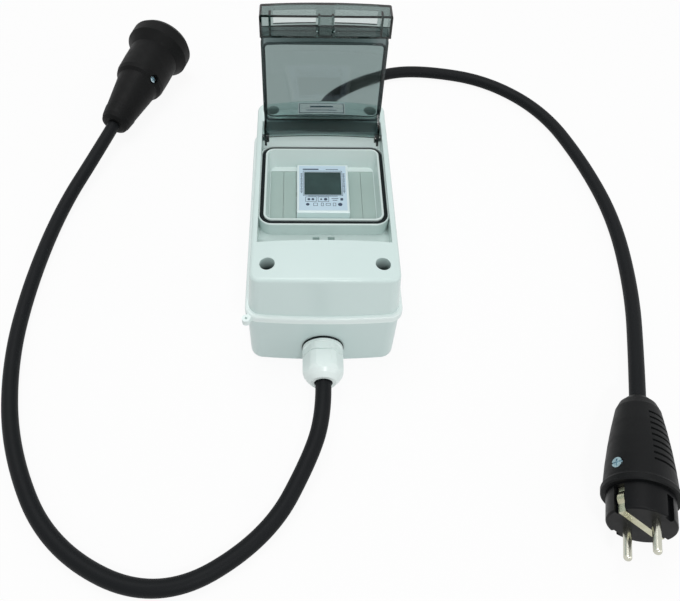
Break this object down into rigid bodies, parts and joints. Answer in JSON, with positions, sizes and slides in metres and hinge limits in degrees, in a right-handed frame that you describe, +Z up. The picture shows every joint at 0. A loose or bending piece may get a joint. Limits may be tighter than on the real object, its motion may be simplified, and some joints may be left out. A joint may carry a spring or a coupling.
{
  "type": "in-line energy meter",
  "caption": "Energy meter on a rail inside a grey box with a hinged smoke window, a mains plug on one rubber lead and a socket on the other.",
  "frame": {"origin": "centre of the box's back face, on the floor", "axes": "+X to the box's right, +Y along the box from the near gland to the far gland, +Z up out of the box's front"},
  "size_m": [0.4594, 0.4888, 0.184],
  "materials": {
    "box_plastic": "moulded polycarbonate, light grey, fine satin texture",
    "smoke_lid": "smoke tinted clear polycarbonate, polished",
    "meter_plastic": "moulded, white, fine satin texture",
    "label_plastic": "smooth white film",
    "display_glass": "liquid crystal display under clear glass",
    "circuit_board": "solder resist on glass fibre board",
    "clip_plastic": "moulded, dark grey",
    "gland_nylon": "moulded polyamide, off white",
    "seal_rubber": "smooth black rubber",
    "cord_rubber": "black rubber sheath, dull",
    "plug_rubber": "black solid rubber, dull, lightly textured",
    "insert_plastic": "black thermoset",
    "nickel": "nickel plated brass",
    "brass": "drawn brass",
    "zinc_steel": "zinc plated steel",
    "live_sheath": "brown core insulation",
    "neutral_sheath": "blue core insulation",
    "earth_sheath": "green core insulation with a yellow stripe"
  },
  "bodies": {
    "box": {"base_shell": "box_plastic", "front_cover": "box_plastic", "cover_seal": "seal_rubber", "window_gasket": "seal_rubber", "cover_screws": "zinc_steel", "label_plate": "label_plastic", "blanking_strips": "box_plastic", "din_rail": "zinc_steel", "rail_screws": "zinc_steel", "meter_housing": "meter_plastic", "meter_front": "meter_plastic", "meter_faceplate": "label_plastic", "meter_display": "display_glass", "meter_board": "circuit_board", "meter_terminals": "brass", "meter_terminal_screws": "zinc_steel", "earth_terminal": "brass", "earth_terminal_screws": "zinc_steel", "live_wires": "live_sheath", "neutral_wires": "neutral_sheath", "earth_wires": "earth_sheath", "lead_tails": "cord_rubber", "socket_lead": "cord_rubber", "plug_lead": "cord_rubber", "gland_body_near": "gland_nylon", "gland_nut_near": "gland_nylon", "gland_locknut_near": "gland_nylon", "gland_seal_near": "seal_rubber", "gland_ring_near": "seal_rubber", "gland_body_far": "gland_nylon", "gland_nut_far": "gland_nylon", "gland_locknut_far": "gland_nylon", "gland_seal_far": "seal_rubber", "gland_ring_far": "seal_rubber", "plug_body": "plug_rubber", "plug_insert": "insert_plastic", "plug_pins": "nickel", "plug_earth_strap": "brass", "plug_screw": "zinc_steel", "socket_body": "plug_rubber", "socket_insert": "insert_plastic", "socket_sleeves": "brass", "socket_earth_clips": "brass", "socket_screw": "zinc_steel"},
    "lid": {"window_lid": "smoke_lid"},
    "rail_clip": {"meter_rail_clip": "clip_plastic"}
  },
  "joints": [
    {"name": "lid_hinge", "type": "hinge", "parent": "box", "child": "lid", "pos_m": [0, 0.0525, 0.08], "axis": [1, 0, 0], "range_deg": [0, 90]},
    {"name": "rail_clip_slide", "type": "slide", "parent": "box", "child": "rail_clip", "axis": [0, -1, 0], "range_m": [0, 0.003]}
  ]
}
